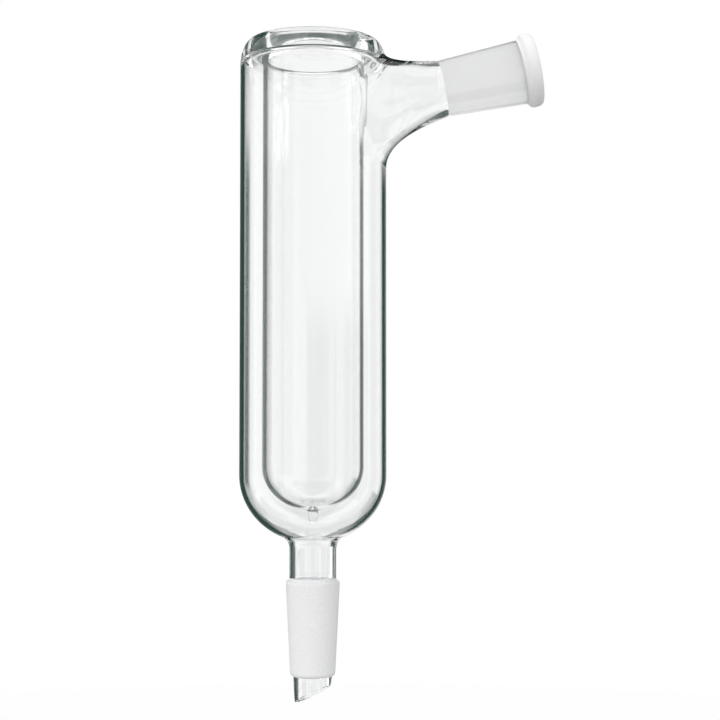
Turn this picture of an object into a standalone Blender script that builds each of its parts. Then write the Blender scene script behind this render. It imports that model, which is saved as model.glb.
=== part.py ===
"""A well-type cold-finger condenser in borosilicate glass.

A deep open well for dry ice hangs inside a round-bottomed jacket. The two are sealed together at the
rim. Vapour comes up through the lower ground cone, condenses on the well and runs back off its drip
nib. The side arm near the rim carries a ground socket.

Metres, +Z up. The jacket's axis is Z, and the side arm points along +X and slightly up. The origin is
on the axis at the wide end of the lower ground cone, where a flask's socket holds the condenser.
"""

import math

import bmesh
import bpy
from mathutils import Matrix, Vector

MM = 0.001

# Driving dimensions. Both ground joints are the 24/40 size: 24 mm wide end, 40 mm long, 1 in 10 taper.
JOINT_RADIUS = 12.0 * MM
JOINT_SLOPE = 0.05  # radius lost per length
CONE_LENGTH = 38.7 * MM  # down to where its rounded toe starts
CONE_TOE = 2.0 * MM
NECK_RADIUS = 10.4 * MM
NECK_BORE = 8.05 * MM
NECK_FLARE = 2.6 * MM  # height of the shoulder between the neck and the cone
NECK_TOP = 14.5 * MM  # where the neck's upper flare starts
NECK_FILLET = 2.6 * MM

JACKET_RADIUS = 32.8 * MM
JACKET_WALL = 1.8 * MM
JACKET_FLOOR = 48.2 * MM  # where the straight wall turns into the round bottom
JACKET_DEPTH = 30.3 * MM  # of the round bottom
BOTTOM_SEAL_RADIUS = 13.5 * MM  # where the neck is sealed to the round bottom

WELL_RADIUS = 22.6 * MM
WELL_WALL = 1.7 * MM
WELL_FLOOR = 51.8 * MM
WELL_DEPTH = 19.4 * MM

SHOULDER = 231.8 * MM  # top of both straight walls
RIM_HEIGHT = 11.4 * MM  # from there to the crest of the rim
RIM_LAND = 1.4 * MM  # the flat crest that a cover rests on
RIM_FOOT = 233.7 * MM  # where the well's mouth starts to turn out to the crest
RIM_CORNER = 0.95  # how squarely it turns: 0.55 would be round
CEILING_HEIGHT = 3.0 * MM  # the vapour space's rounded top, above the shoulder

NIB_RADIUS = 2.1 * MM
NIB_LENGTH = 5.9 * MM

TIP_TOP_RADIUS = 8.65 * MM
TIP_END_RADIUS = 8.1 * MM
TIP_BORE = 6.6 * MM
TIP_LOW = -52.4 * MM  # the long side of the slanted end
TIP_HIGH = -44.8 * MM  # its short side

ARM_HEIGHT = 209.5 * MM  # where the arm's axis meets the jacket's axis
ARM_TILT = math.radians(11.9)
ARM_END = 59.6 * MM  # along the arm's axis, where the socket starts
SOCKET_MOUTH = 102.7 * MM
BEAD_START = 95.5 * MM
SOCKET_WALL = 2.7 * MM
BEAD_RADIUS = 16.6 * MM
BEAD_FACE_RADIUS = 15.2 * MM
MOUTH_CHAMFER = 0.6 * MM

# The side arm's opening in the jacket is an ellipse in (angle, height along the wall).
OPENING_HALF_ANGLE = 0.85
OPENING_TOP = 6.0 * MM  # above the shoulder, along the outer wall
OPENING_BOTTOM = -46.3 * MM
BORE_OPENING_TOP = 1.5 * MM  # the same on the inner wall
ARM_NARROWING = math.radians(12.5)
# How far the arm's wall keeps its way out of the jacket and into the tube. Each leans from low to high.
ARM_SWEEP, ARM_SWEEP_LEAN, ARM_SIDE_SWEEP = 28 * MM, 14 * MM, 12 * MM
ARM_ARRIVAL, ARM_ARRIVAL_LEAN = 22.5 * MM, 2.5 * MM

GAP = 0.3 * MM  # left between pieces that are flame-sealed together
CUTTER_MARGIN = 1.6 * GAP  # by which the opening is larger than the root of the arm, facets included
CUTTER_REACH = 1.5  # how far the opening's cutter goes past the wall, in wall thicknesses
CUTTER_CAP = 12  # the same for the middle of its outer end, which bulges to clear the round wall

TURN_STEPS = 48
ARM_STEPS = 40
ARM_RINGS = 9
NIB_STEPS = 20

CREST_RADIUS = JACKET_RADIUS - (JACKET_RADIUS - WELL_RADIUS + WELL_WALL) / 2
CREST = SHOULDER + RIM_HEIGHT
JACKET_BORE = JACKET_RADIUS - JACKET_WALL
WELL_BORE = WELL_RADIUS - WELL_WALL
SPACE_MIDDLE = (JACKET_BORE + WELL_RADIUS) / 2
ARM_WAY = Vector((math.cos(ARM_TILT), 0, math.sin(ARM_TILT)))

CLEAR = ((0.93, 0.97, 0.96), 0.02)
GROUND = ((0.90, 0.91, 0.92), 0.55)


def clear_scene():
    for obj in list(bpy.data.objects):
        bpy.data.objects.remove(obj)


def new_collection(name):
    collection = bpy.data.collections.new(name)
    bpy.context.scene.collection.children.link(collection)
    return collection


def glass(name, finish):
    """A Principled glass for one part: clear, or ground to a matt surface."""
    colour, roughness = finish
    material = bpy.data.materials.new(name)
    material.use_nodes = True
    shader = material.node_tree.nodes["Principled BSDF"]
    shader.inputs["Base Color"].default_value = (*colour, 1.0)
    shader.inputs["Roughness"].default_value = roughness
    shader.inputs["Metallic"].default_value = 0.0
    shader.inputs["IOR"].default_value = 1.47
    shader.inputs["Transmission Weight"].default_value = 1.0
    return material


def add_object(name, mesh, finish, collection):
    mesh.materials.append(glass(name + "_glass", finish))
    obj = bpy.data.objects.new(name, mesh)
    collection.objects.link(obj)
    return obj


def arc(middle, radii, start, end, count):
    """Points on an ellipse about middle, from the angle start to end, in degrees, both ends included."""
    angles = [math.radians(start + (end - start) * i / count) for i in range(count + 1)]
    return [(middle[0] + radii[0] * math.cos(a), middle[1] + radii[1] * math.sin(a)) for a in angles]


def bezier(start, start_handle, end_handle, end, count):
    """Points on a cubic curve, without its first point."""
    points = []
    for i in range(1, count + 1):
        t = i / count
        weights = ((1 - t) ** 3, 3 * t * (1 - t) ** 2, 3 * t * t * (1 - t), t**3)
        corners = (start, start_handle, end_handle, end)
        points.append(tuple(sum(w * p[k] for w, p in zip(weights, corners)) for k in (0, 1)))
    return points


def turned(name, profile, finish, collection, closed=True, steps=TURN_STEPS):
    """Turns a (radius, height) profile about the object's Z axis. It runs down the outer side."""
    mesh = bpy.data.meshes.new(name)
    edges = [(i, i + 1) for i in range(len(profile) - 1)]
    if closed:
        edges.append((len(profile) - 1, 0))
    mesh.from_pydata([(r, 0, z) for r, z in profile], edges, [])
    obj = add_object(name, mesh, finish, collection)
    screw = obj.modifiers.new("Turn", "SCREW")
    screw.steps = steps
    screw.render_steps = steps
    screw.use_merge_vertices = True
    screw.merge_threshold = 0.00001
    screw.use_smooth_shade = True
    return obj


def cut(obj, cutter):
    boolean = obj.modifiers.new("Cut", "BOOLEAN")
    boolean.operation = "DIFFERENCE"
    boolean.object = cutter


def hide_cutter(obj):
    obj.hide_render = True
    obj.display_type = "WIRE"


def along_arm(obj):
    """Places an object turned about its own Z so that Z runs out along the side arm."""
    obj.location = (0, 0, ARM_HEIGHT)
    obj.rotation_euler = (0, math.pi / 2 - ARM_TILT, 0)


# The jacket and the side arm


def wall_point(outer, climb, angle):
    """A point on the jacket's outer or inner wall: climb is metres above the shoulder, along the wall."""
    if outer:
        middle, width, height = CREST_RADIUS, JACKET_RADIUS - CREST_RADIUS, RIM_HEIGHT
    else:
        middle, width, height = SPACE_MIDDLE, JACKET_BORE - SPACE_MIDDLE, CEILING_HEIGHT
    turn = max(climb, 0) / height
    radius = middle + width * math.cos(turn)
    z = SHOULDER + min(climb, 0) + height * math.sin(turn)
    return Vector((radius * math.cos(angle), radius * math.sin(angle), z))


def socket_bore(along):
    """The radius of the socket's tapered bore, at a distance along the arm's axis."""
    return JOINT_RADIUS - JOINT_SLOPE * (SOCKET_MOUTH - along)


def opening_edge(outer, around, shrink=1.0, margin=0.0):
    """A point on the edge of the arm's opening, at the angle around: pi/2 is its top."""
    half_climb = (OPENING_TOP - OPENING_BOTTOM) / 2
    climb = OPENING_TOP - half_climb + shrink * half_climb * math.sin(around)
    if climb > 0 and not outer:
        climb *= BORE_OPENING_TOP / OPENING_TOP
    climb += shrink * margin * math.sin(around)
    half_angle = OPENING_HALF_ANGLE + margin / JACKET_RADIUS
    return wall_point(outer, climb, shrink * half_angle * math.cos(around))


def arm_end(outer, around):
    """A point on the round end of the arm's outer or inner wall."""
    up = Vector((-math.sin(ARM_TILT), 0, math.cos(ARM_TILT)))
    radius = socket_bore(ARM_END) + (SOCKET_WALL if outer else 0)
    spoke = math.sin(around) * up + math.cos(around) * Vector((0, 1, 0))
    return Vector((0, 0, ARM_HEIGHT)) + ARM_WAY * (ARM_END - GAP) + spoke * radius


def arm_outside(around, t):
    """The arm's outer wall, from the opening's edge at t = 0 to the round tube at t = 1, as a cubic curve
    that leaves along the jacket's wall and arrives along the arm."""
    start = opening_edge(True, around)
    start_way = (opening_edge(True, around, shrink=0.98) - start).normalized()
    end = arm_end(True, around)
    spoke = (end - arm_end(False, around)).normalized()
    end_way = ARM_WAY * math.cos(ARM_NARROWING) - spoke * math.sin(ARM_NARROWING)
    # The lower side sweeps far out of the wall, and the upper side turns out tightly under the rim.
    sweep = ARM_SWEEP - ARM_SWEEP_LEAN * math.sin(around) + ARM_SIDE_SWEEP * math.cos(around) ** 2
    arrive = ARM_ARRIVAL - ARM_ARRIVAL_LEAN * math.sin(around)
    t2, t3 = t * t, t**3
    return (
        start * (2 * t3 - 3 * t2 + 1)
        + start_way * (t3 - 2 * t2 + t) * sweep
        + end * (3 * t2 - 2 * t3)
        + end_way * (t3 - t2) * arrive
    )


def under_outside(around, t):
    """The point that lies under the arm's outer wall by the thickness of the glass."""
    step = 0.01
    along = arm_outside(around, t + step) - arm_outside(around, t - step)
    across = arm_outside(around + step, t) - arm_outside(around - step, t)
    wall = JACKET_WALL + (SOCKET_WALL - JACKET_WALL) * fade(t)
    return arm_outside(around, t) + across.cross(along).normalized() * wall


def arm_inside(around, t):
    """The arm's inner wall: it lies under the outer one, and is drawn over to meet the bore at both ends."""
    start_miss = opening_edge(False, around) - under_outside(around, 0)
    end_miss = arm_end(False, around) - under_outside(around, 1)
    return under_outside(around, t) + start_miss * (1 - fade(2 * t)) + end_miss * fade(t)


def fade(t):
    """Rises smoothly from 0 to 1."""
    t = min(t, 1)
    return t * t * (3 - 2 * t)


def ring(work, points):
    return [work.verts.new(p) for p in points]


def bridge(work, first, second):
    count = len(first)
    for i in range(count):
        j = (i + 1) % count
        work.faces.new((first[i], first[j], second[j], second[i]))


def closed_mesh(name, work):
    bmesh.ops.recalc_face_normals(work, faces=work.faces)
    mesh = bpy.data.meshes.new(name)
    work.to_mesh(mesh)
    work.free()
    mesh.shade_smooth()
    mesh.set_sharp_from_angle(angle=math.radians(40))
    return mesh


def circle_angles():
    return [2 * math.pi * i / ARM_STEPS for i in range(ARM_STEPS)]


def make_side_arm(parts):
    """The flared tube between the jacket's opening and the socket, lofted because its ends are unlike."""
    work = bmesh.new()
    steps = [i / ARM_RINGS for i in range(ARM_RINGS + 1)]
    rings = [ring(work, [arm_outside(a, t) for a in circle_angles()]) for t in steps]
    rings += [ring(work, [arm_inside(a, t) for a in circle_angles()]) for t in reversed(steps)]
    for i, first in enumerate(rings):
        bridge(work, first, rings[(i + 1) % len(rings)])
    return add_object("side_arm", closed_mesh("side_arm", work), CLEAR, parts)


def through_wall(around, depth, shrink=1.0):
    """A point on the opening's cutter: depth is 0 on the inner wall and 1 on the outer one."""
    inner = opening_edge(False, around, shrink, CUTTER_MARGIN)
    outer = opening_edge(True, around, shrink, CUTTER_MARGIN)
    return inner + depth * (outer - inner)


def make_opening_cutter(cutters):
    """A plug through the jacket's wall, a little larger than the root of the side arm."""
    work = bmesh.new()
    depths = (-CUTTER_REACH, 0, 1, 1 + CUTTER_REACH)
    rings = [ring(work, [through_wall(a, depth) for a in circle_angles()]) for depth in depths]
    for first, second in zip(rings, rings[1:]):
        bridge(work, first, second)
    for edge, depth in ((rings[0], -CUTTER_REACH), (rings[-1], CUTTER_CAP)):
        middle = work.verts.new(through_wall(0, depth, shrink=0))
        for i, vert in enumerate(edge):
            work.faces.new((vert, edge[(i + 1) % len(edge)], middle))
    cutter = bpy.data.objects.new("opening_cutter", closed_mesh("opening_cutter", work))
    cutters.objects.link(cutter)
    hide_cutter(cutter)
    return cutter


def bottom_angle(gap=0.0):
    """The angle on the round bottom, in degrees below its widest ring, at which the neck is sealed on."""
    return math.degrees(math.acos(BOTTOM_SEAL_RADIUS / JACKET_RADIUS) + gap / JACKET_DEPTH)


def make_jacket(parts, cutters):
    """The outer tube: a rounded shoulder up to the crest, a straight wall and a round bottom."""
    bore_depth = JACKET_DEPTH - JACKET_WALL
    profile = arc((CREST_RADIUS, SHOULDER), (JACKET_RADIUS - CREST_RADIUS, RIM_HEIGHT), 90, 0, 7)
    profile += arc((0, JACKET_FLOOR), (JACKET_RADIUS, JACKET_DEPTH), 0, -bottom_angle(), 8)
    profile += arc((0, JACKET_FLOOR), (JACKET_BORE, bore_depth), -bottom_angle(), 0, 8)
    profile += arc(
        (SPACE_MIDDLE, SHOULDER), (JACKET_BORE - SPACE_MIDDLE, CEILING_HEIGHT), 0, 90, 5
    )
    profile[-1] = (CREST_RADIUS, profile[-1][1])
    jacket = turned("outer_jacket", profile, CLEAR, parts)
    cut(jacket, make_opening_cutter(cutters))
    return jacket


def make_rim(parts):
    """The rolled lip: the inner half of the rim, which joins the well to the jacket's shoulder."""
    seam = CREST_RADIUS - GAP
    inner_land = seam - RIM_LAND
    foot = SHOULDER + GAP
    ceiling = arc((SPACE_MIDDLE, foot), (SPACE_MIDDLE - WELL_RADIUS, CEILING_HEIGHT), 90, 180, 5)
    profile = [(seam, CREST), (seam, ceiling[0][1])] + ceiling[1:]
    profile += [(WELL_BORE, foot), (WELL_BORE, RIM_FOOT)]
    profile += bezier(
        (WELL_BORE, RIM_FOOT),
        (WELL_BORE, RIM_FOOT + RIM_CORNER * (CREST - RIM_FOOT)),
        (inner_land - RIM_CORNER * (inner_land - WELL_BORE), CREST),
        (inner_land, CREST),
        10,
    )
    return turned("rim_seal", profile, CLEAR, parts)


# The well


def make_well(parts):
    """The test-tube-shaped well. Both ends of its profile are on the axis, at the inner and outer floor."""
    bore_depth = WELL_DEPTH - WELL_WALL
    profile = arc((0, WELL_FLOOR), (WELL_BORE, bore_depth), -90, 0, 9)
    profile += [(WELL_BORE, SHOULDER), (WELL_RADIUS, SHOULDER)]
    profile += arc((0, WELL_FLOOR), (WELL_RADIUS, WELL_DEPTH), 0, -90, 9)
    return turned("inner_well", profile, CLEAR, parts, closed=False)


def make_nib(parts):
    """The drip point pulled from the middle of the well's floor."""
    top = WELL_FLOOR - WELL_DEPTH - GAP
    root_height = 0.25 * NIB_LENGTH
    profile = [(0, top), (1.35 * NIB_RADIUS, top)]
    profile += arc((0, top - root_height), (NIB_RADIUS, NIB_LENGTH - root_height), 0, -90, 7)
    return turned("drip_nib", profile, CLEAR, parts, closed=False, steps=NIB_STEPS)


# The lower joint


def make_neck(parts):
    """The clear tube between the jacket's bottom and the ground cone, flared at both ends."""
    seal = bottom_angle(GAP)
    bore_depth = JACKET_DEPTH - JACKET_WALL
    outer_top = arc((0, JACKET_FLOOR), (JACKET_RADIUS, JACKET_DEPTH), -seal, -seal, 1)[0]
    inner_top = arc((0, JACKET_FLOOR), (JACKET_BORE, bore_depth), -seal, -seal, 1)[0]
    profile = [outer_top]
    profile += bezier(
        outer_top,
        (outer_top[0] - 0.8 * NECK_FILLET, outer_top[1] - 0.35 * NECK_FILLET),
        (NECK_RADIUS, NECK_TOP + 1.2 * NECK_FILLET),
        (NECK_RADIUS, NECK_TOP),
        5,
    )
    profile += [(NECK_RADIUS, NECK_FLARE)]
    profile += bezier(
        (NECK_RADIUS, NECK_FLARE),
        (NECK_RADIUS, 0.4 * NECK_FLARE),
        (JOINT_RADIUS, 0.7 * NECK_FLARE),
        (JOINT_RADIUS, GAP),
        5,
    )
    profile += [(NECK_BORE, GAP), (NECK_BORE, NECK_TOP)]
    profile += bezier(
        (NECK_BORE, NECK_TOP),
        (NECK_BORE, NECK_TOP + 2 * NECK_FILLET),
        (inner_top[0] - 0.8 * NECK_FILLET, inner_top[1] - 0.35 * NECK_FILLET),
        inner_top,
        5,
    )
    return turned("neck_tube", profile, CLEAR, parts)


def make_cone(parts):
    """The ground cone that seats in a flask, with a rounded toe."""
    toe_radius = JOINT_RADIUS - JOINT_SLOPE * CONE_LENGTH
    toe_end = -CONE_LENGTH - CONE_TOE
    profile = [(JOINT_RADIUS, 0)]
    profile += arc(
        (TIP_TOP_RADIUS, -CONE_LENGTH), (toe_radius - TIP_TOP_RADIUS, CONE_TOE), 0, -90, 4
    )
    profile += [(TIP_BORE, toe_end), (TIP_BORE, -CONE_LENGTH), (NECK_BORE, -0.7 * CONE_LENGTH)]
    profile += [(NECK_BORE, 0)]
    return turned("ground_cone", profile, GROUND, parts)


def make_slant_cutter(cutters):
    """A block whose top face is the slanted plane at which the drip tip ends."""
    slant = math.atan2(TIP_HIGH - TIP_LOW, 2 * TIP_END_RADIUS)
    side = 60 * MM
    work = bmesh.new()
    bmesh.ops.create_cube(work, size=side)
    cutter = bpy.data.objects.new("slant_cutter", closed_mesh("slant_cutter", work))
    cutters.objects.link(cutter)
    cutter.matrix_world = (
        Matrix.Translation((0, 0, (TIP_HIGH + TIP_LOW) / 2))
        @ Matrix.Rotation(-slant, 4, "Y")
        @ Matrix.Translation((0, 0, -side / 2))
    )
    hide_cutter(cutter)
    return cutter


def make_tip(parts, cutters):
    """The clear drip tip below the cone, cut off at a slant so that drops leave from its long side."""
    top = -CONE_LENGTH - CONE_TOE - GAP
    below = TIP_LOW - 2 * MM
    profile = [(TIP_TOP_RADIUS, top), (TIP_END_RADIUS, below)]
    profile += [(TIP_BORE - 0.3 * MM, below), (TIP_BORE, top)]
    tip = turned("drip_tip", profile, CLEAR, parts)
    cut(tip, make_slant_cutter(cutters))
    return tip


# The socket


def make_socket(parts):
    """The ground socket: a 1 in 10 taper inside, and an even wall."""
    ends = (BEAD_START, ARM_END)
    profile = [(socket_bore(s) + SOCKET_WALL, s) for s in ends]
    profile += [(socket_bore(s), s) for s in reversed(ends)]
    socket = turned("ground_socket", profile, GROUND, parts)
    along_arm(socket)
    return socket


def make_bead(parts):
    """The thick rolled bead at the socket's mouth, with a flat face."""
    start = BEAD_START + GAP
    root = socket_bore(start) + SOCKET_WALL
    belly = SOCKET_MOUTH - 3.6 * MM
    cove = BEAD_RADIUS - root
    profile = arc(
        (BEAD_FACE_RADIUS, belly), (BEAD_RADIUS - BEAD_FACE_RADIUS, SOCKET_MOUTH - belly), 90, 0, 5
    )
    profile += bezier(
        (BEAD_RADIUS, belly),
        (BEAD_RADIUS, belly - cove),
        (root + 0.3 * cove, start + cove),
        (root, start),
        5,
    )
    profile += [(socket_bore(start), start)]
    profile += [(socket_bore(SOCKET_MOUTH - MOUTH_CHAMFER), SOCKET_MOUTH - MOUTH_CHAMFER)]
    profile += [(JOINT_RADIUS + MOUTH_CHAMFER, SOCKET_MOUTH)]
    bead = turned("socket_bead", profile, CLEAR, parts)
    along_arm(bead)
    return bead


def main():
    clear_scene()
    parts = new_collection("cold_finger_condenser")
    cutters = new_collection("cutters")
    make_jacket(parts, cutters)
    make_rim(parts)
    make_well(parts)
    make_nib(parts)
    make_neck(parts)
    make_cone(parts)
    make_tip(parts, cutters)
    make_side_arm(parts)
    make_socket(parts)
    make_bead(parts)


main()
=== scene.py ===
"""Looks of the cold finger condenser: blown glass, ground joints, a plain white studio and the camera.

The glass is worked out as one continuous skin, so that light crosses the flame seals as it does in real
glass. The skin is then shared out between the pieces, which replace the CAD model's faceted ones, and each
piece is closed at its seals by clear faces that do not bend light. Metres, +Z up, in the CAD model's frame.
"""

import math

import bmesh
import bpy
import numpy as np
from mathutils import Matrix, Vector

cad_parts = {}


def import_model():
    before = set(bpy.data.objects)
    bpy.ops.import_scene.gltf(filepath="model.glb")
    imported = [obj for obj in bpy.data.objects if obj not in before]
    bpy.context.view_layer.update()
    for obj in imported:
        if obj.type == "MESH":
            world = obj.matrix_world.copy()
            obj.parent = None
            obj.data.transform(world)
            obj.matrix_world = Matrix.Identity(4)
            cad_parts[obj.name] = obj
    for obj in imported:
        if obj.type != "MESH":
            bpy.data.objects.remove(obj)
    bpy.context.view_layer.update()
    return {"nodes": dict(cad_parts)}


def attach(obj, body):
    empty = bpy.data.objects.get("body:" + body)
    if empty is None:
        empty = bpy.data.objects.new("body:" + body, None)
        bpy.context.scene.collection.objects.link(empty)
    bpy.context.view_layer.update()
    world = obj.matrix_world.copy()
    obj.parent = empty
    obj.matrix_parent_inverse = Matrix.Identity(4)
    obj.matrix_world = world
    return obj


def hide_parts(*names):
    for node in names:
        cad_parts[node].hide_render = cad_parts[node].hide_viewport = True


MM = 0.001
WHITE = (1, 1, 1)

# Sizes of the glass, as in the CAD model. Heights are above the wide end of the lower ground cone.
JOINT_RADIUS = 12.0 * MM
JOINT_SLOPE = 0.05  # radius lost per length
CONE_LENGTH = 38.7 * MM
CONE_TOE = 2.0 * MM
CONE_KNEE = -0.7 * CONE_LENGTH  # where its bore starts to narrow to the drip tip's
NECK_RADIUS = 10.4 * MM
NECK_BORE = 8.05 * MM
NECK_FLARE = 2.6 * MM  # height of the step between the neck and the cone
NECK_TOP = 14.5 * MM  # where the neck starts to flare into the jacket
NECK_RISE = 3.2 * MM  # how far that flare heads straight up, outside and in the bore
BORE_RISE = 5.2 * MM
SEAL_REACH = 2.1 * MM  # how far from the seal it turns towards the jacket: inwards and down
SEAL_DIP = 0.9 * MM

JACKET_RADIUS = 32.8 * MM
JACKET_WALL = 1.8 * MM
JACKET_FLOOR = 48.2 * MM  # where the straight wall turns into the round bottom
JACKET_DEPTH = 30.3 * MM  # of the round bottom
BOTTOM_SEAL_RADIUS = 13.5 * MM  # where the neck is sealed to the round bottom

WELL_RADIUS = 22.6 * MM
WELL_WALL = 1.7 * MM
WELL_FLOOR = 51.8 * MM
WELL_DEPTH = 19.4 * MM

SHOULDER = 231.8 * MM  # top of both straight walls
RIM_HEIGHT = 11.4 * MM  # from there to the crest of the rim
RIM_LAND = 1.4 * MM  # the flat crest
RIM_FOOT = 233.7 * MM  # where the well's mouth starts to turn out to the crest
RIM_CORNER = 0.95  # how squarely it turns: 0.55 would be round
CEILING_HEIGHT = 3.0 * MM  # the vapour space's rounded top, above the shoulder

NIB_RADIUS = 2.1 * MM
NIB_LENGTH = 6.0 * MM  # from the well's floor, where the CAD model has a gap
NIB_ROOT = 1.5 * NIB_RADIUS  # radius of its seal with the well's floor
NIB_POINT = 0.7 * NIB_LENGTH  # length of the rounded point

TIP_TOP_RADIUS = 8.65 * MM
TIP_END_RADIUS = 8.1 * MM
TIP_BORE = 6.6 * MM
TIP_LOW = -52.4 * MM  # the long side of the slanted end
TIP_HIGH = -44.8 * MM  # its short side
TIP_END = (TIP_LOW + TIP_HIGH) / 2
TIP_LIP = 0.9  # how round the fire-polished end is: 1 would be a half circle

ARM_HEIGHT = 209.5 * MM  # where the arm's axis meets the jacket's axis
ARM_TILT = math.radians(11.9)
ARM_END = 59.6 * MM  # along the arm's axis, where the socket starts
SOCKET_MOUTH = 102.7 * MM
BEAD_START = 95.5 * MM
BEAD_BELLY = 3.6 * MM  # from the mouth back to the bead's widest ring
SOCKET_WALL = 2.7 * MM
BEAD_RADIUS = 16.6 * MM
BEAD_FACE_RADIUS = 15.2 * MM
MOUTH_CHAMFER = 0.6 * MM

# The arm's opening in the jacket's wall: its top and bottom are measured along the wall from the shoulder.
OPENING_HALF_ANGLE = 0.85  # radians
OPENING_TOP = 6.0 * MM
OPENING_BOTTOM = -46.3 * MM
BORE_OPENING_TOP = 1.5 * MM

# The flare of the arm. Its lower side sweeps further out of the wall than its upper side.
ARM_NARROWING = math.radians(12.5)
ARM_SWEEP = 28 * MM
ARM_SWEEP_LEAN = 14 * MM
ARM_SIDE_SWEEP = 12 * MM
ARM_ARRIVAL = 22.5 * MM
ARM_ARRIVAL_LEAN = 2.5 * MM
BORE_HURRY = 1.5  # how much sooner the bore leaves the opening's edge than it meets the socket's

CREST_RADIUS = JACKET_RADIUS - (JACKET_RADIUS - WELL_RADIUS + WELL_WALL) / 2
CREST = SHOULDER + RIM_HEIGHT
JACKET_BORE = JACKET_RADIUS - JACKET_WALL
WELL_BORE = WELL_RADIUS - WELL_WALL
SPACE_MIDDLE = (JACKET_BORE + WELL_RADIUS) / 2
TOE_RADIUS = JOINT_RADIUS - JOINT_SLOPE * CONE_LENGTH
TOE_END = -CONE_LENGTH - CONE_TOE

# How finely the skin is divided
TURN_STEPS = 144
ARC_STEPS = 14
LONG_ARC_STEPS = 30
LINE_STEPS = 14
WALL_STEPS = 20
FACE_STEPS = 8
CHAMFER_STEPS = 6
RIM_BORE_STEPS = 3
ARM_RINGS = 22
BLOCK = 44  # columns and rows of the wall's grid that are taken out around the side arm's opening
BLOCK_RINGS = 4  # rings between the opening's edge and that block
BLOCK_BAND = {True: (-49.5 * MM, 9.0 * MM), False: (-48.5 * MM, 3.2 * MM)}  # by outer or inner wall
SAME_POINT = 0.002 * MM  # points closer than this are one point
ON_AXIS = 0.001 * MM  # and a ring smaller than this is a point on the axis

# Finishes, which are also the numbers of each piece's material slots
CLEAR, GROUND, GROUND_BORE, SEAL = range(4)

GLASS_IOR = 1.47
WAVE_SCALE = 45  # per metre
WAVE_DEPTH = 0.006 * MM
GRAIN_SCALE = 1400  # per metre
# Darker and lighter grains of the ground faces, and of the socket's bore, which is seen through clear glass.
# The grain is the ground glass's own; the bore's paler level is painted brightness that makes up for the
# light the clear wall in front of it takes away.
OUTER_GRAIN = ((0.83, 0.832, 0.838, 1), (0.90, 0.902, 0.908, 1))
BRIGHTENED_BORE_GRAIN = ((0.985, 0.987, 0.99, 1), (1.0, 1.0, 1.0, 1))

# Camera
LENS = 76.5
CAMERA_PLACE = Vector((21 * MM, -684 * MM, 72 * MM))
CAMERA_PITCH = math.radians(2.3)

# The studio that the glass sees. Angles are in degrees, and azimuths run from +Y towards +X. A board or a
# card is (middle azimuth, half width, lowest and highest elevation). Light has no fixed place: what a ray
# sees depends on its direction and on how many glass surfaces it has crossed.
ONCE = 0.5  # a count above this is at least one
EDGE_CROSSINGS = (2, 6)  # rays mirrored inside a wall, which draw the edges of the tubes
ONE_TUBE_CROSSINGS = 4  # rays straight through the jacket alone
DEEP_CROSSINGS = 5.5  # more than this: light on ground faces far inside the glass
BOARD_EDGE = 3  # widths of the soft edges
BACKDROP_EDGE = 2
WIDE_EDGE = 8

# Seen through the glass
THROUGH_LEVEL = 0.86
STRIP = (-16, 3.5, -4.5, 10)
STRIP_SHADE = 0.8
DARK_HIGH, DARK_LOW = -12.6, -66  # the dark foreground's elevations
CARDS = ((-45, 16, -46, -10), (135, 16, -30, 0))
CARD_LEVEL = 0.9

# Seen mirrored in the glass
BRIGHTEST = 4.0  # most that the belt's stops can hold
MIRROR_BELT = (  # (azimuth, brightness)
    (-180, 1.5),
    (-66, 1.5),
    (-58, 0.0),
    (-7, 0.0),
    (-5, 0.5),
    (11, 0.6),
    (13, 0.0),
    (37, 0.0),
    (46, 1.6),
    (180, 1.6),
)
MIRROR_LOW, MIRROR_HIGH = -16, 24  # the belt's elevations ahead
FRONT_STARTS = 62  # further round than this, the belt has no lower or upper edge
MIRROR_CEILING, MIRROR_FLOOR = 57, -38  # bright above and below these elevations
MIRROR_CARDS = ((2, 9, -48, -9), (25, 12, 10, 24))
LOW_BACK_AZIMUTHS = (110, 130)  # over which the low light behind fades
LOW_BACK_ELEVATIONS = (-35, -45)
LOW_BACK_SHADE = 0.9
DARK_BOARDS = (  # for edge rays only, from the sides and from behind
    (-118, 16, -20, 14),
    (-62, 10, -20, 14),
    (103, 24, -34, 4),
    (165, 24, -34, 4),
)
BOARD_SHADE = 0.95
BOARD_COLOUR = (0.030, 0.060, 0.052)  # the colour that shows in the dark edges of the glass

# The light on matt surfaces
MATT_LEVEL = 0.60
MATT_LEAN = (-0.22, -0.50, 0.62)  # how much it grows along each axis
TABLE_LIGHT = 0.45  # the least from any direction
BORE_LIGHT = 1.25  # on ground faces behind clear glass
DEEP_LIGHT = 7.0  # and on those far inside it

FLOOR_HEIGHT = -300 * MM
FLOOR_RADIUS = 1500 * MM
FLOOR_SEGMENTS = 128


# The shape of the glass: profiles


def arc(middle, radii, start, end, count=ARC_STEPS):
    """Points on an ellipse about middle, from the angle start to end, in degrees, both ends included."""
    angles = [math.radians(start + (end - start) * i / count) for i in range(count + 1)]
    return [(middle[0] + radii[0] * math.cos(a), middle[1] + radii[1] * math.sin(a)) for a in angles]


def bezier(start, start_handle, end_handle, end, count=ARC_STEPS):
    """Points on a cubic curve, both ends included."""
    points = []
    for i in range(count + 1):
        t = i / count
        weights = ((1 - t) ** 3, 3 * t * (1 - t) ** 2, 3 * t * t * (1 - t), t**3)
        corners = (start, start_handle, end_handle, end)
        points.append(tuple(sum(w * p[k] for w, p in zip(weights, corners)) for k in (0, 1)))
    return points


def line(start, end, count=LINE_STEPS):
    """Points on a straight line, closer together towards its ends, so that its shading stays straight."""
    steps = [(1 - math.cos(math.pi * i / count)) / 2 for i in range(count + 1)]
    return [tuple(a + (b - a) * t for a, b in zip(start, end)) for t in steps]


def chain(*runs):
    """Runs of points end to end, with the points that two runs share kept once."""
    points = []
    for run in runs:
        for point in run:
            if not points or math.dist(point, points[-1]) > SAME_POINT:
                points.append(point)
    return points


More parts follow.
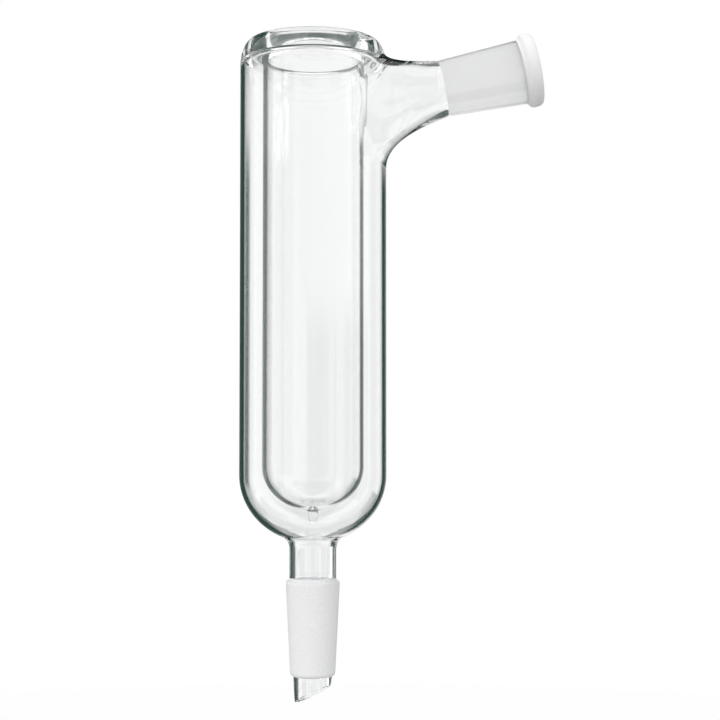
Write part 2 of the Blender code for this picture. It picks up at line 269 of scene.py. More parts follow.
def well_floor_height(radius):
    """The height of the outside of the well's floor."""
    return WELL_FLOOR - WELL_DEPTH * math.sqrt(1 - (radius / WELL_RADIUS) ** 2)


def nib_profile():
    """The drip nib from its point up to the seal on the well's floor."""
    low = WELL_FLOOR - WELL_DEPTH - NIB_LENGTH
    point = arc((0, low + NIB_POINT), (NIB_RADIUS, NIB_POINT), -90, 0)
    point[0] = (0.0, low)
    corner = 1.2 * NIB_RADIUS
    fillet = bezier(
        point[-1],
        (NIB_RADIUS, low + 0.9 * NIB_LENGTH),
        (corner, well_floor_height(corner)),
        (NIB_ROOT, well_floor_height(NIB_ROOT)),
    )
    return chain(point, fillet)


def well_outside():
    """From the nib's seal round the floor and up to the shoulder."""
    start = -math.degrees(math.acos(NIB_ROOT / WELL_RADIUS))
    floor = arc((0, WELL_FLOOR), (WELL_RADIUS, WELL_DEPTH), start, 0, LONG_ARC_STEPS)
    return chain(floor, line(floor[-1], (WELL_RADIUS, SHOULDER), WALL_STEPS))


def well_inside():
    """The well's bore, from the shoulder down to the middle of its floor."""
    floor = arc((0, WELL_FLOOR), (WELL_BORE, WELL_DEPTH - WELL_WALL), 0, -90, LONG_ARC_STEPS)
    floor[-1] = (0.0, floor[-1][1])
    return chain(line((WELL_BORE, SHOULDER), floor[0], WALL_STEPS), floor)


def ceiling(start, end):
    """The rounded top of the vapour space."""
    return arc((SPACE_MIDDLE, SHOULDER), (JACKET_BORE - SPACE_MIDDLE, CEILING_HEIGHT), start, end)


def rim_inside():
    """From the crest of the rim down into the well."""
    land = CREST_RADIUS - RIM_LAND
    curve = bezier(
        (land, CREST),
        (land - RIM_CORNER * (land - WELL_BORE), CREST),
        (WELL_BORE, RIM_FOOT + RIM_CORNER * (CREST - RIM_FOOT)),
        (WELL_BORE, RIM_FOOT),
        LONG_ARC_STEPS,
    )
    bore = line((WELL_BORE, RIM_FOOT), (WELL_BORE, SHOULDER), RIM_BORE_STEPS)
    return chain([(CREST_RADIUS, CREST), (CREST_RADIUS - 0.5 * RIM_LAND, CREST)], curve, bore)


def bottom_arc(outer):
    """The jacket's round bottom, from the neck's seal up to the straight wall."""
    start = -math.degrees(math.acos(BOTTOM_SEAL_RADIUS / JACKET_RADIUS))
    radii = (JACKET_RADIUS, JACKET_DEPTH) if outer else (JACKET_BORE, JACKET_DEPTH - JACKET_WALL)
    return arc((0, JACKET_FLOOR), radii, start, 0, LONG_ARC_STEPS)


def neck_flare(outer):
    """From the straight neck up to its seal with the jacket's round bottom."""
    seal = bottom_arc(outer)[0]
    radius, rise = (NECK_RADIUS, NECK_RISE) if outer else (NECK_BORE, BORE_RISE)
    return bezier(
        (radius, NECK_TOP), (radius, NECK_TOP + rise), (seal[0] - SEAL_REACH, seal[1] - SEAL_DIP), seal
    )


def neck_shoulder():
    """The small step from the ground cone's wide end in to the neck."""
    return bezier(
        (JOINT_RADIUS, 0),
        (JOINT_RADIUS, 0.7 * NECK_FLARE),
        (NECK_RADIUS, 0.4 * NECK_FLARE),
        (NECK_RADIUS, NECK_FLARE),
    )


def neck_outside():
    """From the step up to the jacket."""
    flare = neck_flare(True)
    return chain(line((NECK_RADIUS, NECK_FLARE), flare[0]), flare)


def neck_inside():
    """From the jacket's floor down to the ground cone."""
    flare = neck_flare(False)[::-1]
    return chain(flare, line(flare[-1], (NECK_BORE, 0)))


def cone_inside():
    """Down the straight bore, which narrows to the drip tip's over the last part of the cone."""
    knee = (NECK_BORE, CONE_KNEE)
    turn = -0.85 * CONE_LENGTH
    narrowing = bezier(knee, (NECK_BORE, turn), (TIP_BORE, turn), (TIP_BORE, TOE_END))
    return chain(line((NECK_BORE, 0), knee), narrowing)


def cone_outside():
    """From the rounded toe up to the wide end."""
    toe = arc((TIP_TOP_RADIUS, -CONE_LENGTH), (TOE_RADIUS - TIP_TOP_RADIUS, CONE_TOE), -90, 0)
    return chain(toe, line(toe[-1], (JOINT_RADIUS, 0)))


def tip_profile():
    """The drip tip before it is slanted: down the bore, round its fire-polished end and up outside."""
    half_wall = (TIP_END_RADIUS - TIP_BORE) / 2
    drop = TIP_LIP * half_wall
    lip = arc((TIP_BORE + half_wall, TIP_END + drop), (half_wall, drop), 180, 360)
    return chain(line((TIP_BORE, TOE_END), lip[0]), lip, line(lip[-1], (TIP_TOP_RADIUS, TOE_END)))


def slanted(radius, height, angle):
    """How far a point of the drip tip moves up for the slant of its end, which fades out at the cone."""
    slope = (TIP_HIGH - TIP_LOW) / (2 * TIP_END_RADIUS)
    share = np.clip((TOE_END - height) / (TOE_END - TIP_END), 0, 1)
    return share * slope * radius * np.cos(angle)


# The jacket's wall and the side arm


def wall_profile(outer, climb):
    """(radius, height) on the jacket's wall: climb is metres above the shoulder, along the wall."""
    if outer:
        middle, width, height = CREST_RADIUS, JACKET_RADIUS - CREST_RADIUS, RIM_HEIGHT
    else:
        middle, width, height = SPACE_MIDDLE, JACKET_BORE - SPACE_MIDDLE, CEILING_HEIGHT
    turn = max(climb, 0) / height
    return middle + width * math.cos(turn), SHOULDER + min(climb, 0) + height * math.sin(turn)


def wall_point(outer, climb, angle):
    """The place of such a point in space, at an angle from +X about the jacket's axis."""
    radius, z = wall_profile(outer, climb)
    return Vector((radius * math.cos(angle), radius * math.sin(angle), z))


def opening_place(outer, around, shrink=1.0):
    """(climb, angle) of a point on the edge of the arm's opening. At around = pi/2 it is the top."""
    half = (OPENING_TOP - OPENING_BOTTOM) / 2
    climb = OPENING_TOP - half + shrink * half * math.sin(around)
    if climb > 0 and not outer:
        climb *= BORE_OPENING_TOP / OPENING_TOP
    return climb, shrink * OPENING_HALF_ANGLE * math.cos(around)


def arm_axis(along):
    """The point of the arm's axis at a distance from the jacket's axis."""
    return Vector((along * math.cos(ARM_TILT), 0, ARM_HEIGHT + along * math.sin(ARM_TILT)))


def arm_spoke(around):
    """The direction from the arm's axis at the angle around: 0 is +Y and pi/2 is up."""
    up = Vector((-math.sin(ARM_TILT), 0, math.cos(ARM_TILT)))
    return math.sin(around) * up + math.cos(around) * Vector((0, 1, 0))


def socket_bore(along):
    """The radius of the socket's tapered bore."""
    return JOINT_RADIUS - JOINT_SLOPE * (SOCKET_MOUTH - along)


def fade(t):
    """Rises smoothly from 0 to 1."""
    t = min(t, 1)
    return t * t * (3 - 2 * t)


def arm_end(outer, around):
    """A point on the round end of the arm's outer or inner wall."""
    radius = socket_bore(ARM_END)
    if outer:
        radius += SOCKET_WALL
    return arm_axis(ARM_END) + arm_spoke(around) * radius


def arm_outside(around, t):
    """The arm's outer wall, from the opening's edge at t = 0 to the round tube at t = 1, as a cubic curve
    that leaves along the jacket's wall and arrives along the arm."""
    start = wall_point(True, *opening_place(True, around))
    further_in = wall_point(True, *opening_place(True, around, shrink=0.98))
    start_way = (further_in - start).normalized()
    end = arm_end(True, around)
    along = (arm_axis(1) - arm_axis(0)).normalized()
    end_way = along * math.cos(ARM_NARROWING) - arm_spoke(around) * math.sin(ARM_NARROWING)
    sweep = ARM_SWEEP - ARM_SWEEP_LEAN * math.sin(around) + ARM_SIDE_SWEEP * math.cos(around) ** 2
    arrive = ARM_ARRIVAL - ARM_ARRIVAL_LEAN * math.sin(around)
    t2, t3 = t * t, t**3
    return (
        start * (2 * t3 - 3 * t2 + 1)
        + start_way * (t3 - 2 * t2 + t) * sweep
        + end * (3 * t2 - 2 * t3)
        + end_way * (t3 - t2) * arrive
    )


def under_outside(around, t):
    """The point that lies under the arm's outer wall by the thickness of the glass."""
    step = 0.01
    along = arm_outside(around, t + step) - arm_outside(around, t - step)
    across = arm_outside(around + step, t) - arm_outside(around - step, t)
    wall = JACKET_WALL + (SOCKET_WALL - JACKET_WALL) * fade(t)
    return arm_outside(around, t) + across.cross(along).normalized() * wall


def arm_inside(around, t):
    """The arm's inner wall: it lies under the outer one, and is drawn over to meet the bore at both ends."""
    start_miss = wall_point(False, *opening_place(False, around)) - under_outside(around, 0)
    end_miss = arm_end(False, around) - under_outside(around, 1)
    return under_outside(around, t) + start_miss * (1 - fade(BORE_HURRY * t)) + end_miss * fade(t)


def socket_outside():
    """The socket's tapered outside: radius and place along the arm, as for the bead."""
    return line(*[(socket_bore(along) + SOCKET_WALL, along) for along in (ARM_END, BEAD_START)])


def bead_profile():
    """Round the bead, over the flat face of the mouth and just into the bore."""
    root = (socket_bore(BEAD_START) + SOCKET_WALL, BEAD_START)
    cove = BEAD_RADIUS - root[0]
    belly = SOCKET_MOUTH - BEAD_BELLY
    cove_handle = (root[0] + 0.3 * cove, BEAD_START + 0.9 * cove)
    back = bezier(root, cove_handle, (BEAD_RADIUS, belly - cove), (BEAD_RADIUS, belly))
    front = arc((BEAD_FACE_RADIUS, belly), (BEAD_RADIUS - BEAD_FACE_RADIUS, SOCKET_MOUTH - belly), 0, 90)
    edge = JOINT_RADIUS + MOUTH_CHAMFER
    face = line(front[-1], (edge, SOCKET_MOUTH), FACE_STEPS)
    inward = SOCKET_MOUTH - MOUTH_CHAMFER
    corner = arc((edge, inward), (MOUTH_CHAMFER, MOUTH_CHAMFER), 90, 180, CHAMFER_STEPS)
    bore = line((socket_bore(inward), corner[-1][1]), (socket_bore(BEAD_START), BEAD_START))
    return chain(back, front, face, corner, bore)


# The skin: points and faces, each face with the piece that owns it


class Skin:
    """One continuous glass surface, as points and as faces with their owner and finish. Joining two rings
    makes faces that look out of the glass when the rings run anticlockwise and the second lies ahead of
    the first on the path round the glass."""

    def __init__(self):
        self.points = []
        self.faces = []

    def ring(self, points):
        """Adds points, and returns their numbers."""
        start = len(self.points)
        self.points.extend(points)
        return list(range(start, len(self.points)))

    def join(self, first, second, owner, finish, skip=()):
        """Adds the faces between two rings, one of which may be a single point."""
        count = max(len(first), len(second))
        for i in range(count):
            if i in skip:
                continue
            j = (i + 1) % count
            corners = [ring[k % len(ring)] for ring, k in ((first, i), (first, j), (second, j), (second, i))]
            self.faces.append((list(dict.fromkeys(corners)), owner, finish))

    def path(self, rings, owner, finish):
        """Adds the faces along a row of rings."""
        for first, second in zip(rings, rings[1:]):
            self.join(first, second, owner, finish)

    def seal(self, before, after, one, other):
        """Clear faces across a flame seal. The piece called one ends at the ring before and starts again
        at the ring after, and the piece called other fills the path between them."""
        self.join(before, after, one, SEAL)
        self.join(after, before, other, SEAL)


def turned_ring(skin, point, slant=False):
    """A ring of points about the jacket's axis, or a single point on the axis itself."""
    radius, z = point
    if radius < ON_AXIS:
        return skin.ring([(0, 0, z)])
    angles = [2 * math.pi * i / TURN_STEPS for i in range(TURN_STEPS)]
    lift = [slanted(radius, z, a) if slant else 0 for a in angles]
    return skin.ring([(radius * math.cos(a), radius * math.sin(a), z + up) for a, up in zip(angles, lift)])


def turned_path(skin, profile, owner, finish, start=None, slant=False):
    """Turns a profile. Its first ring is start where the path goes on from an earlier one."""
    rings = [start] if start else [turned_ring(skin, profile[0], slant)]
    rings += [turned_ring(skin, point, slant) for point in profile[1:]]
    skin.path(rings, owner, finish)
    return rings[-1]


def block_columns():
    """The columns of the wall's grid that the block covers, from the back to the front of the opening."""
    half = BLOCK // 2
    return [i % TURN_STEPS for i in range(-half, half + 1)]


def block_edge(rows):
    """The points round the block, from its corner at +Y and low, up first."""
    columns = block_columns()
    edge = [row[columns[-1]] for row in rows]
    edge += [rows[-1][column] for column in reversed(columns[:-1])]
    edge += [row[columns[0]] for row in reversed(rows[:-1])]
    edge += [rows[0][column] for column in columns[1:-1]]
    return edge


def block_place(i):
    """(column, row) of the i-th point round the block."""
    side, step = divmod(i, BLOCK)
    return ((BLOCK, step), (BLOCK - step, BLOCK), (0, BLOCK - step), (step, 0))[side]


def opening_angles():
    """The angle around the opening that each point round the block leads to. Corners lie at 45 degrees."""
    return [2 * math.pi * i / (4 * BLOCK) - math.pi / 4 for i in range(4 * BLOCK)]


def opening_ring(outer, share):
    """Points on the wall between the block's edge, at share = 0, and the opening's edge, at share = 1."""
    low, high = BLOCK_BAND[outer]
    points = []
    for i, around in enumerate(opening_angles()):
        column, row = block_place(i)
        from_climb = low + (high - low) * row / BLOCK
        from_angle = (column - BLOCK / 2) * 2 * math.pi / TURN_STEPS
        to_climb, to_angle = opening_place(outer, around)
        climb = from_climb + share * (to_climb - from_climb)
        angle = from_angle + share * (to_angle - from_angle)
        points.append(tuple(wall_point(outer, climb, angle)))
    return points


def wall_with_opening(skin, outer, start, owner):
    """The band of the jacket's wall that holds the arm's opening. Returns the band's last ring and the
    ring round the opening's edge."""
    low, high = BLOCK_BAND[outer]
    climbs = [low + (high - low) * i / BLOCK for i in range(BLOCK + 1)]
    if not outer:
        climbs.reverse()
    rings = [start] + [turned_ring(skin, wall_profile(outer, climb)) for climb in climbs[1:]]
    for first, second in zip(rings, rings[1:]):
        skin.join(first, second, owner, CLEAR, skip=block_columns()[:-1])
    loops = [block_edge(rings if outer else rings[::-1])]
    loops += [skin.ring(opening_ring(outer, k / BLOCK_RINGS)) for k in range(1, BLOCK_RINGS + 1)]
    skin.path(loops if outer else loops[::-1], owner, CLEAR)
    return rings[-1], loops[-1]


def arm_ring(skin, point):
    """A ring of points about the arm's axis."""
    radius, along = point
    middle = arm_axis(along)
    return skin.ring([tuple(middle + arm_spoke(a) * radius) for a in opening_angles()])


def loft_rings(skin, curve, steps):
    """Rings of the arm's flare, at each step along it."""
    return [skin.ring([tuple(curve(a, t)) for a in opening_angles()]) for t in steps]


def turn_inner_side(skin):
    """The turned glass on the vapour's side, from the drip nib to the wide end of the ground cone: over
    the well, under the rim, down the jacket and the bore, and round the drip tip."""
    ends = {}
    ends["nib"] = turned_path(skin, nib_profile(), "drip_nib", CLEAR)
    ends["well outside"] = turned_path(skin, well_outside(), "inner_well", CLEAR, ends["nib"])
    ends["ceiling"] = turned_path(skin, ceiling(180, 90), "rim_seal", CLEAR, ends["well outside"])
    low, high = BLOCK_BAND[False]
    top_angle = math.degrees(high / CEILING_HEIGHT)
    ring = turned_path(skin, ceiling(90, top_angle), "outer_jacket", CLEAR, ends["ceiling"])
    ring, ends["bore opening"] = wall_with_opening(skin, False, ring, "outer_jacket")
    wall = line(wall_profile(False, low), (JACKET_BORE, JACKET_FLOOR), WALL_STEPS)
    floor = chain(wall, bottom_arc(False)[::-1])
    ends["floor inside"] = turned_path(skin, floor, "outer_jacket", CLEAR, ring)
    ends["neck inside"] = turned_path(skin, neck_inside(), "neck_tube", CLEAR, ends["floor inside"])
    ends["cone inside"] = turned_path(skin, cone_inside(), "ground_cone", CLEAR, ends["neck inside"])
    ring = turned_path(skin, tip_profile(), "drip_tip", CLEAR, ends["cone inside"], slant=True)
    ends["cone outside"] = ring
    ends["neck outside"] = turned_path(skin, cone_outside(), "ground_cone", GROUND, ring)
    return ends


def turn_outer_side(skin, ends):
    """The turned glass on the room's side: up the neck and the jacket, over the rim and down the well."""
    ring = turned_path(skin, neck_shoulder(), "neck_tube", GROUND, ends["neck outside"])
    ring = turned_path(skin, neck_outside(), "neck_tube", CLEAR, ring)
    ends["floor outside"] = ring
    low, high = BLOCK_BAND[True]
    wall = line((JACKET_RADIUS, JACKET_FLOOR), wall_profile(True, low), WALL_STEPS)
    ring = turned_path(skin, chain(bottom_arc(True), wall), "outer_jacket", CLEAR, ring)
    ring, ends["opening"] = wall_with_opening(skin, True, ring, "outer_jacket")
    radii = (JACKET_RADIUS - CREST_RADIUS, RIM_HEIGHT)
    shoulder = arc((CREST_RADIUS, SHOULDER), radii, math.degrees(high / RIM_HEIGHT), 90)
    ends["crest"] = turned_path(skin, shoulder, "outer_jacket", CLEAR, ring)
    ends["well inside"] = turned_path(skin, rim_inside(), "rim_seal", CLEAR, ends["crest"])
    turned_path(skin, well_inside(), "inner_well", CLEAR, ends["well inside"])


def make_arm(skin, ends):
    """The side arm's glass, out along its outside, round the bead and back through its bore."""
    steps = [i / ARM_RINGS for i in range(1, ARM_RINGS + 1)]
    outside = [ends["opening"]] + loft_rings(skin, arm_outside, steps)
    skin.path(outside, "side_arm", CLEAR)
    socket = [outside[-1]] + [arm_ring(skin, point) for point in socket_outside()[1:]]
    skin.path(socket, "ground_socket", CLEAR)
    bead = [socket[-1]] + [arm_ring(skin, point) for point in bead_profile()[1:]]
    skin.path(bead, "socket_bead", GROUND)
    bore = line(*[(socket_bore(along), along) for along in (BEAD_START, ARM_END)])
    taper = [bead[-1]] + [arm_ring(skin, point) for point in bore[1:]]
    skin.path(taper, "ground_socket", GROUND_BORE)
    inside = [taper[-1]] + loft_rings(skin, arm_inside, steps[:-1][::-1]) + [ends["bore opening"]]
    skin.path(inside, "side_arm", CLEAR)
    ends["arm outside"] = outside[-1]
    ends["arm inside"] = taper[-1]
    ends["bead outside"] = socket[-1]
    ends["bead inside"] = bead[-1]


def build_skin():
    """The whole glass: the turned glass and the side arm, shared out between the pieces."""
    skin = Skin()
    ends = turn_inner_side(skin)
    turn_outer_side(skin, ends)
    make_arm(skin, ends)

    nib_middle = skin.ring([(0, 0, skin.points[ends["nib"][0]][2])])
    skin.seal(ends["nib"], nib_middle, "drip_nib", "inner_well")
    skin.seal(ends["ceiling"], ends["crest"], "rim_seal", "outer_jacket")
    skin.seal(ends["well outside"], ends["well inside"], "inner_well", "rim_seal")
    skin.seal(ends["floor inside"], ends["floor outside"], "outer_jacket", "neck_tube")
    skin.seal(ends["neck inside"], ends["neck outside"], "neck_tube", "ground_cone")
    skin.seal(ends["cone inside"], ends["cone outside"], "ground_cone", "drip_tip")
    skin.seal(ends["opening"], ends["bore opening"], "outer_jacket", "side_arm")
    skin.seal(ends["arm outside"], ends["arm inside"], "side_arm", "ground_socket")
    skin.seal(ends["bead outside"], ends["bead inside"], "ground_socket", "socket_bead")
    return skin


def smooth_normals(skin):
    """The skin's normals before it is shared out, so that shading runs on across the seals."""
    mesh = bpy.data.meshes.new("skin")
    mesh.from_pydata(skin.points, [], [corners for corners, _, finish in skin.faces if finish != SEAL])
    normals = np.array([normal.vector[:] for normal in mesh.vertex_normals])
    bpy.data.meshes.remove(mesh)
    return normals


def make_piece(skin, normals, owner, materials):
    """One piece of glass: its share of the skin, closed at its seals."""
    faces = [(corners, finish) for corners, holder, finish in skin.faces if holder == owner]
    used = sorted({corner for corners, _ in faces for corner in corners})
    number = {corner: i for i, corner in enumerate(used)}
    points = [skin.points[corner] for corner in used]
    mesh = bpy.data.meshes.new(owner)
    mesh.from_pydata(points, [], [[number[corner] for corner in corners] for corners, _ in faces])
    for material in materials:
        mesh.materials.append(material)
    mesh.polygons.foreach_set("material_index", [finish for _, finish in faces])
    mesh.update()
    loop_normals = []
    for polygon, (corners, finish) in zip(mesh.polygons, faces):
        flat = tuple(polygon.normal)
        loop_normals += [flat if finish == SEAL else tuple(normals[corner]) for corner in corners]
    mesh.shade_smooth()
    mesh.normals_split_custom_set(loop_normals)
    piece = bpy.data.objects.new(owner + "_glass", mesh)
    bpy.context.scene.collection.objects.link(piece)
    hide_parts(owner)
    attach(piece, "root")
    return piece


# Materials


def new_material(name):
    """A new material, with its nodes and links."""
    material = bpy.data.materials.new(name)
    material.use_nodes = True
    return material, material.node_tree.nodes, material.node_tree.links


def clear_glass():
    """Fire-polished borosilicate glass, very slightly wavy from the flame."""
    material, nodes, links = new_material("clear_glass")
    shader = nodes["Principled BSDF"]
    shader.inputs["Base Color"].default_value = (0.972, 0.974, 0.974, 1)
    shader.inputs["Roughness"].default_value = 0.0
    shader.inputs["IOR"].default_value = GLASS_IOR
    shader.inputs["Transmission Weight"].default_value = 1.0
    waves = nodes.new("ShaderNodeTexNoise")
    waves.inputs["Scale"].default_value = WAVE_SCALE
    waves.inputs["Detail"].default_value = 1
    links.new(nodes.new("ShaderNodeTexCoord").outputs["Object"], waves.inputs["Vector"])
    bump = nodes.new("ShaderNodeBump")
    bump.inputs["Strength"].default_value = 1
    bump.inputs["Distance"].default_value = WAVE_DEPTH
    links.new(waves.outputs["Fac"], bump.inputs["Height"])
    links.new(bump.outputs["Normal"], shader.inputs["Normal"])
    return material


def ground_glass(name, dark, light):
    """Glass ground with fine abrasive: matt, white and faintly grainy."""
    material, nodes, links = new_material(name)
    shader = nodes["Principled BSDF"]
    shader.inputs["Roughness"].default_value = 0.6
    shader.inputs["IOR"].default_value = GLASS_IOR
    shader.inputs["Specular IOR Level"].default_value = 0.2
    grain = nodes.new("ShaderNodeTexNoise")
    grain.inputs["Scale"].default_value = GRAIN_SCALE
    grain.inputs["Detail"].default_value = 3
    links.new(nodes.new("ShaderNodeTexCoord").outputs["Object"], grain.inputs["Vector"])
    tint = nodes.new("ShaderNodeValToRGB")
    tint.color_ramp.elements[0].position = 0.3
    tint.color_ramp.elements[0].color = dark
    tint.color_ramp.elements[1].position = 0.7
    tint.color_ramp.elements[1].color = light
    links.new(grain.outputs["Fac"], tint.inputs["Fac"])
    links.new(tint.outputs["Color"], shader.inputs["Base Color"])
    return material


def flame_seal():
    """The inside of a flame seal, where nothing is seen because the glass goes on."""
    material, nodes, links = new_material("flame_seal")
    nodes.remove(nodes["Principled BSDF"])
    through = nodes.new("ShaderNodeBsdfTransparent")
    links.new(through.outputs["BSDF"], nodes["Material Output"].inputs["Surface"])
    return material


# Studio


def make_floor():
    """A plain pale floor, which only the camera sees: the glass sees nothing but the studio's light."""
    mesh = bpy.data.meshes.new("floor")
    work = bmesh.new()
    bmesh.ops.create_circle(work, cap_ends=True, radius=FLOOR_RADIUS, segments=FLOOR_SEGMENTS)
    work.to_mesh(mesh)
    work.free()
    material, nodes, _ = new_material("pale_floor")
    shader = nodes["Principled BSDF"]
    shader.inputs["Base Color"].default_value = (0.97, 0.97, 0.97, 1)
    shader.inputs["Roughness"].default_value = 0.9
    shader.inputs["Specular IOR Level"].default_value = 0.0
    mesh.materials.append(material)
    floor = bpy.data.objects.new("floor", mesh)
    floor.location.z = FLOOR_HEIGHT
    floor.visible_transmission = False
    floor.visible_glossy = False
    floor.visible_diffuse = False
    bpy.context.scene.collection.objects.link(floor)


def make_camera():
    """A long lens in front of the glass, tilted slightly up."""
    camera = bpy.data.cameras.new("camera")
    camera.lens = LENS
    camera.sensor_width = 36
    camera.clip_start = 0.01
    camera.clip_end = 100
    obj = bpy.data.objects.new("camera", camera)
    obj.location = CAMERA_PLACE
    obj.rotation_euler = (math.pi / 2 + CAMERA_PITCH, 0, 0)
    bpy.context.scene.collection.objects.link(obj)
    bpy.context.scene.camera = obj


class Sums:
    """Adds arithmetic nodes to a node tree. Values are sockets or plain numbers."""

    def __init__(self, tree):
        self.nodes = tree.nodes
        self.links = tree.links

    def feed(self, node, *inputs):
        """Sets or links a node's first inputs, and returns its output."""
        for socket, value in zip(node.inputs, inputs):
            if isinstance(value, (int, float)):
                socket.default_value = value
            else:
                self.links.new(value, socket)
        return node.outputs[0]

    def op(self, operation, *inputs):
        """One arithmetic step."""
        node = self.nodes.new("ShaderNodeMath")
        node.operation = operation
        return self.feed(node, *inputs)

    def largest(self, *values):
        """The largest of any number of values."""
        top = values[0]
        for value in values[1:]:
            top = self.op("MAXIMUM", top, value)
        return top

    def equals(self, value, whole):
        """1 where a count is the whole number, and 0 elsewhere."""
        return self.op("COMPARE", value, whole, 0.1)

    def exceeds(self, value, limit):
        """1 above the limit and 0 below it."""
        return self.op("GREATER_THAN", value, limit)

    def rise(self, value, start, end):
        """0 at start and 1 at end, smooth between them."""
        node = self.nodes.new("ShaderNodeMapRange")
        node.interpolation_type = "SMOOTHSTEP"
        return self.feed(node, value, start, end)

    def above(self, value, limit, edge):
        """1 above the limit and 0 below it, with a soft edge."""
        return self.rise(value, limit - edge / 2, limit + edge / 2)

    def below(self, value, limit, edge):
        """1 below the limit and 0 above it, with a soft edge."""
        return self.rise(value, limit + edge / 2, limit - edge / 2)

    def between(self, value, low, high, edge):
        """1 from low to high and 0 outside them, with soft edges."""
        return self.op("MULTIPLY", self.above(value, low, edge), self.below(value, high, edge))

    def shaded(self, light, share, depth):
        """The light, less depth of it where share is 1."""
        return self.op("MULTIPLY", light, self.op("MULTIPLY_ADD", share, -depth, 1.0))

    def off(self, azimuth, middle):
        """How many degrees an azimuth lies off the middle, from -180 to 180."""
        shifted = self.op("ADD", azimuth, 180 - middle)
        return self.op("SUBTRACT", self.op("FLOORED_MODULO", shifted, 360), 180)

    def choose(self, share, first, second):
        """first where share is 0 and second where it is 1."""
        return self.op("MULTIPLY_ADD", share, self.op("SUBTRACT", second, first), first)


def belt(sums, azimuth, stops):
    """Brightness by azimuth, straight between the stops."""
    node = sums.nodes.new("ShaderNodeValToRGB")
    marks = node.color_ramp.elements
    while len(marks) < len(stops):
        marks.new(1.0)
    for mark, (degrees, level) in zip(marks, stops):
        mark.position = degrees / 360 + 0.5
        mark.color = (level / BRIGHTEST, level / BRIGHTEST, level / BRIGHTEST, 1)
    turn = sums.op("MULTIPLY_ADD", azimuth, 1 / 360, 0.5)
    sums.links.new(turn, node.inputs["Fac"])
    return sums.op("MULTIPLY", node.outputs["Color"], BRIGHTEST)


def window(sums, azimuth, elevation, card):
    """1 on a card or a board, and 0 off it."""
    middle, half, low, high = card
    across = sums.between(sums.off(azimuth, middle), -half, half, BOARD_EDGE)
    return sums.op("MULTIPLY", across, sums.between(elevation, low, high, BOARD_EDGE))


def windows(sums, azimuth, elevation, cards):
    """1 on any of the cards or boards."""
    return sums.largest(*[window(sums, azimuth, elevation, card) for card in cards])


def through_light(sums, azimuth, elevation, crossings):
    """What is seen straight through the glass: a pale backdrop and two cards. Through the jacket alone, a
    dark foreground and a thin dark strip stand before it."""
    above = sums.above(elevation, DARK_HIGH, BACKDROP_EDGE)
    below = sums.below(elevation, DARK_LOW, WIDE_EDGE)
    one_tube = sums.equals(crossings, ONE_TUBE_CROSSINGS)
    clear = sums.op("SUBTRACT", 1.0, one_tube)
    light = sums.op("MULTIPLY", sums.largest(above, below, clear), THROUGH_LEVEL)
    strip = sums.op("MULTIPLY", window(sums, azimuth, elevation, STRIP), one_tube)
    light = sums.shaded(light, strip, STRIP_SHADE)
    cards = sums.op("MULTIPLY", windows(sums, azimuth, elevation, CARDS), CARD_LEVEL)
    return sums.largest(light, cards)


def mirrored_light(sums, azimuth, elevation, edge_ray):
    """What is seen mirrored in the glass: dark boards beside the backdrop, bright lights round the rest."""
    light = belt(sums, azimuth, MIRROR_BELT)
    off_front = sums.op("ABSOLUTE", azimuth)
    level_part = sums.between(elevation, MIRROR_LOW, MIRROR_HIGH, BOARD_EDGE)
    light = sums.op("MULTIPLY", light, sums.largest(sums.exceeds(off_front, FRONT_STARTS), level_part))
    board = sums.op("MULTIPLY", windows(sums, azimuth, elevation, DARK_BOARDS), edge_ray)
    light = sums.shaded(light, board, BOARD_SHADE)
    top = sums.above(elevation, MIRROR_CEILING, WIDE_EDGE)
    bottom = sums.below(elevation, MIRROR_FLOOR, WIDE_EDGE)
    light = sums.largest(light, top, bottom, windows(sums, azimuth, elevation, MIRROR_CARDS))
    behind = sums.rise(off_front, *LOW_BACK_AZIMUTHS)
    low_back = sums.op("MULTIPLY", behind, sums.rise(elevation, *LOW_BACK_ELEVATIONS))
    return sums.shaded(light, low_back, LOW_BACK_SHADE)


def matt_light(sums, direction, crossings):
    """The soft light on matt surfaces: strongest from above and from the front, weaker from the right.
    Ground faces behind clear glass get an even light, and a stronger one deep inside the glass."""
    light = MATT_LEVEL
    for axis, lean in zip("XYZ", MATT_LEAN):
        light = sums.op("MULTIPLY_ADD", direction.outputs[axis], lean, light)
    inside = sums.choose(sums.exceeds(crossings, DEEP_CROSSINGS), BORE_LIGHT, DEEP_LIGHT)
    outside = sums.largest(light, TABLE_LIGHT)
    return sums.choose(sums.exceeds(crossings, ONCE), outside, inside)


def background(sums, colour, strength):
    """Light of a colour from all round, as strong as the socket says."""
    node = sums.nodes.new("ShaderNodeBackground")
    node.inputs["Color"].default_value = (*colour, 1)
    sums.links.new(strength, node.inputs["Strength"])
    return node.outputs[0]


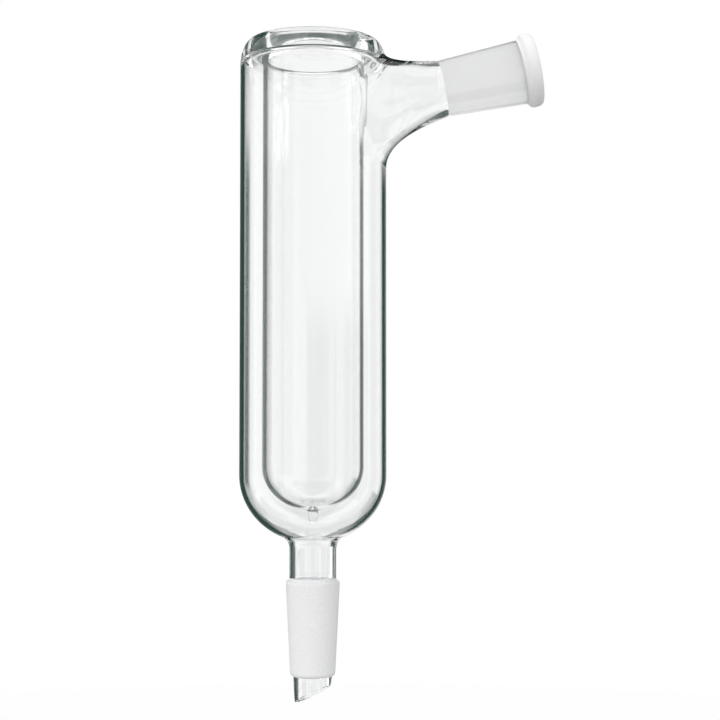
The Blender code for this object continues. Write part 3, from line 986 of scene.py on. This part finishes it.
def make_world():
    """A white studio. The camera sees it plain white, and matt surfaces get its soft light. Glass sees a
    pale backdrop through itself, and mirrors dark boards and bright lights, which draw its edges."""
    world = bpy.data.worlds.new("studio")
    bpy.context.scene.world = world
    world.cycles.sampling_method = "NONE"
    world.use_nodes = True
    nodes, links = world.node_tree.nodes, world.node_tree.links
    nodes.clear()
    sums = Sums(world.node_tree)
    direction = nodes.new("ShaderNodeSeparateXYZ")
    links.new(nodes.new("ShaderNodeTexCoord").outputs["Generated"], direction.inputs[0])
    azimuth = sums.op("DEGREES", sums.op("ARCTAN2", direction.outputs["X"], direction.outputs["Y"]))
    elevation = sums.op("DEGREES", sums.op("ARCSINE", direction.outputs["Z"]))
    path = nodes.new("ShaderNodeLightPath")
    crossings = path.outputs["Transmission Depth"]
    edge_ray = sums.largest(*[sums.equals(crossings, count) for count in EDGE_CROSSINGS])
    seen_through = through_light(sums, azimuth, elevation, crossings)
    seen_mirrored = mirrored_light(sums, azimuth, elevation, edge_ray)
    mirrored = sums.exceeds(path.outputs["Glossy Depth"], ONCE)
    level = sums.choose(mirrored, seen_through, seen_mirrored)
    darkness = sums.op("SUBTRACT", 1.0, sums.op("MINIMUM", level, 1.0))
    studio = nodes.new("ShaderNodeAddShader")
    links.new(background(sums, BOARD_COLOUR, darkness), studio.inputs[0])
    links.new(background(sums, WHITE, level), studio.inputs[1])
    matt = sums.exceeds(path.outputs["Diffuse Depth"], ONCE)
    plain = background(sums, WHITE, sums.choose(matt, 1.0, matt_light(sums, direction, crossings)))
    choice = nodes.new("ShaderNodeMixShader")
    links.new(sums.largest(path.outputs["Is Camera Ray"], matt), choice.inputs["Fac"])
    links.new(studio.outputs[0], choice.inputs[1])
    links.new(plain, choice.inputs[2])
    output = nodes.new("ShaderNodeOutputWorld")
    links.new(choice.outputs[0], output.inputs["Surface"])


def light_paths():
    """Glass inside glass needs many bounces."""
    scene = bpy.context.scene
    scene.view_settings.view_transform = "Standard"
    scene.cycles.max_bounces = 32
    scene.cycles.diffuse_bounces = 16
    scene.cycles.transmission_bounces = 32
    scene.cycles.glossy_bounces = 16
    scene.cycles.transparent_max_bounces = 32


def main():
    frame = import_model()
    skin = build_skin()
    normals = smooth_normals(skin)
    materials = [
        clear_glass(),
        ground_glass("ground_glass", *OUTER_GRAIN),
        # the socket's bore: a paler copy of the ground glass, painted brightness for the light lost behind
        # the clear wall
        ground_glass("ground_bore_brightened", *BRIGHTENED_BORE_GRAIN),
        flame_seal(),
    ]
    for owner in sorted(frame["nodes"]):
        piece = make_piece(skin, normals, owner, materials)
    make_floor()
    make_camera()
    make_world()
    light_paths()


main()
